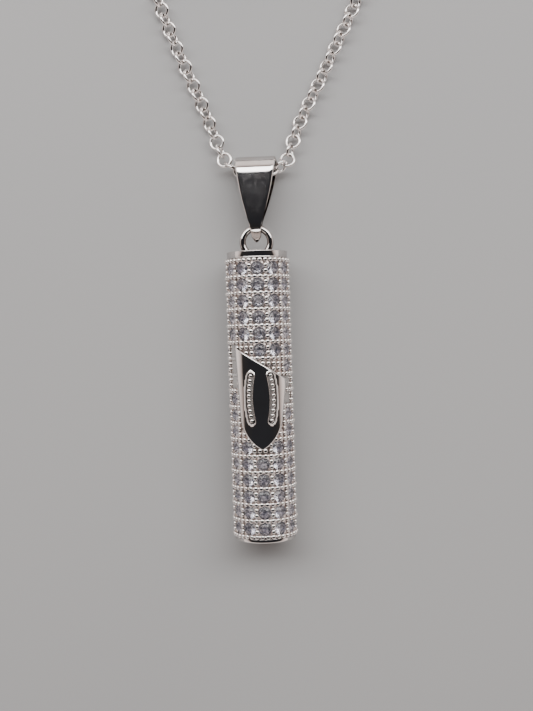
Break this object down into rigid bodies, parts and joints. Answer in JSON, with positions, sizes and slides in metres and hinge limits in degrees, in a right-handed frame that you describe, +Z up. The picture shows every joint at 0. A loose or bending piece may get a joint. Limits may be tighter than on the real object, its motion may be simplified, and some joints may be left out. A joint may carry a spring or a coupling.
{
  "type": "mezuzah case pendant",
  "caption": "Wearable mezuzah case: stone-set silver tube with a wrapped pointed plaque, screw plug and scroll inside, on a folded bail and round-link chain.",
  "frame": {"origin": "on the resting surface, under the middle of the pendant from the plug's face to the bail's top, without its chain", "axes": "+Z up from the surface that it lies on and out of the plaque, +Y along the tube towards the bail, +X to the right"},
  "size_m": [0.0243, 0.0809, 0.0066],
  "materials": {
    "silver_polished": "rhodium-plated silver, mirror polished",
    "silver_pave": "rhodium-plated silver, bright cut and milgrained",
    "silver_chain": "rhodium-plated silver wire, polished",
    "stone": "clear cut stone, round brilliant",
    "parchment": "matte rolled parchment",
    "spring_steel": "drawn spring wire"
  },
  "bodies": {
    "chain": {"chain_left": "silver_chain", "chain_right": "silver_chain", "chain_coil_lower": "silver_chain", "chain_coil_upper": "silver_chain", "clasp_body": "silver_chain", "clasp_spring": "spring_steel", "clasp_link": "silver_chain", "end_ring": "silver_chain"},
    "bail": {"bail": "silver_polished"},
    "case": {"case_tube": "silver_polished", "pave_sleeve": "silver_pave", "front_plaque": "silver_polished", "bead_inlay_left": "silver_pave", "bead_inlay_right": "silver_pave", "top_cap": "silver_polished", "cap_ring": "silver_polished", "stones_row_01": "stone", "stones_row_02": "stone", "stones_row_03": "stone", "stones_row_04": "stone", "stones_row_05": "stone", "stones_row_06": "stone", "stones_row_07": "stone", "stones_row_08": "stone", "stones_row_09": "stone", "stones_row_10": "stone", "stones_row_11": "stone", "stones_row_12": "stone", "stones_row_13": "stone", "stones_row_14": "stone", "stones_row_15": "stone", "stones_row_16": "stone", "stones_row_17": "stone"},
    "scroll": {"scroll": "parchment"},
    "bottom_cap": {"bottom_cap": "silver_polished"},
    "clasp_trigger": {"clasp_trigger": "silver_chain"}
  },
  "joints": [
    {"name": "bail_swing", "type": "hinge", "parent": "chain", "child": "bail", "pos_m": [0, 0.01768, 0.00169], "axis": [1, 0, 0], "range_deg": [-60, 60]},
    {"name": "case_swing", "type": "hinge", "parent": "bail", "child": "case", "pos_m": [0, 0.01183, 0.00328], "axis": [1, 0, 0], "range_deg": [-70, 70]},
    {"name": "plug_travel", "type": "slide", "parent": "case", "child": "scroll", "axis": [0, -1, 0], "range_m": [0, 0.0024]},
    {"name": "plug_turn", "type": "hinge", "parent": "scroll", "child": "bottom_cap", "pos_m": [0, -0.01915, 0.00328], "axis": [0, -1, 0], "range_deg": [0, 1441]},
    {"name": "clasp_slide", "type": "hinge", "parent": "chain", "child": "clasp_trigger", "pos_m": [0.00155, 0.05, 0.00064], "axis": [0, 0, 1], "range_deg": [0, 58], "stiffness_Nm_per_rad": 0.002, "springref_deg": -34.38, "deforming": ["clasp_spring"]}
  ],
  "couplings": [
    {"joint": "plug_turn", "follows": "plug_travel", "rad_per_m": 10472}
  ]
}
